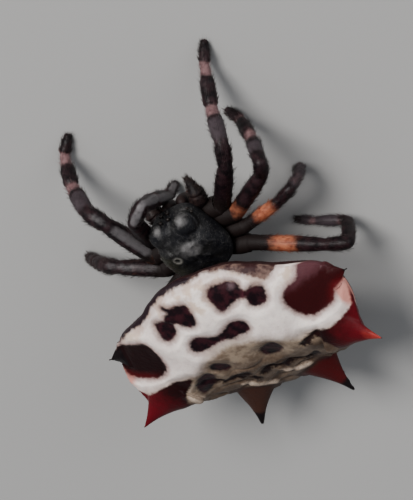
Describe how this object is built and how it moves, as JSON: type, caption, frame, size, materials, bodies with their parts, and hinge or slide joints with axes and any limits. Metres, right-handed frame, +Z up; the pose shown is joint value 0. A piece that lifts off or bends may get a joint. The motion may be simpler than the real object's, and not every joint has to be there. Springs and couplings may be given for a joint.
{
  "type": "spiny orb weaver",
  "caption": "Life-size spiny orb weaver spider, standing, with a wide white abdomen that carries dark spots and stout spines.",
  "frame": {"origin": "the floor under the middle of the whole spider's box, seen from above", "axes": "+X to the spider's right, +Y forward, from its rear spines to its front legs, +Z up from the floor"},
  "size_m": [0.0128, 0.0162, 0.006],
  "materials": {
    "white_shell": "hard satin shell, white with dark spots, red side spines and dark tips in the dressed model",
    "black_carapace": "grey-black, finely hairy shell",
    "black_mouthpart": "dark brown-black, smooth",
    "brown_leg": "glossy dark brown with paler rings",
    "orange_leg": "glossy orange and dark brown",
    "glossy_eye": "high gloss black"
  },
  "bodies": {
    "root": {"abdomen": "white_shell", "spinnerets": "black_mouthpart", "carapace": "black_carapace", "sternum": "black_carapace", "pedicel": "black_carapace", "chelicera_right": "black_mouthpart", "palp_right": "black_mouthpart", "chelicera_left": "black_mouthpart", "palp_left": "black_mouthpart", "eye_front_median_right": "glossy_eye", "eye_front_median_left": "glossy_eye", "eye_rear_median_right": "glossy_eye", "eye_rear_median_left": "glossy_eye", "eye_front_lateral_right": "glossy_eye", "eye_front_lateral_left": "glossy_eye", "eye_rear_lateral_right": "glossy_eye", "eye_rear_lateral_left": "glossy_eye", "leg_right_1_coxa": "brown_leg", "leg_right_1_femur": "brown_leg", "leg_right_1_tibia": "brown_leg", "leg_right_1_metatarsus": "brown_leg", "leg_right_1_tarsus": "brown_leg", "leg_right_2_coxa": "brown_leg", "leg_right_2_femur": "brown_leg", "leg_right_2_tibia": "brown_leg", "leg_right_2_metatarsus": "brown_leg", "leg_right_2_tarsus": "brown_leg", "leg_right_3_coxa": "brown_leg", "leg_right_3_femur": "orange_leg", "leg_right_3_tibia": "brown_leg", "leg_right_3_metatarsus": "brown_leg", "leg_right_3_tarsus": "brown_leg", "leg_right_4_coxa": "brown_leg", "leg_right_4_femur": "orange_leg", "leg_right_4_tibia": "brown_leg", "leg_right_4_metatarsus": "brown_leg", "leg_right_4_tarsus": "brown_leg", "leg_left_1_coxa": "brown_leg", "leg_left_1_femur": "brown_leg", "leg_left_1_tibia": "brown_leg", "leg_left_1_metatarsus": "brown_leg", "leg_left_1_tarsus": "brown_leg", "leg_left_2_coxa": "brown_leg", "leg_left_2_femur": "brown_leg", "leg_left_2_tibia": "brown_leg", "leg_left_2_metatarsus": "brown_leg", "leg_left_2_tarsus": "brown_leg", "leg_left_3_coxa": "brown_leg", "leg_left_3_femur": "orange_leg", "leg_left_3_tibia": "brown_leg", "leg_left_3_metatarsus": "brown_leg", "leg_left_3_tarsus": "brown_leg", "leg_left_4_coxa": "brown_leg", "leg_left_4_femur": "orange_leg", "leg_left_4_tibia": "brown_leg", "leg_left_4_metatarsus": "brown_leg", "leg_left_4_tarsus": "brown_leg"}
  },
  "joints": []
}
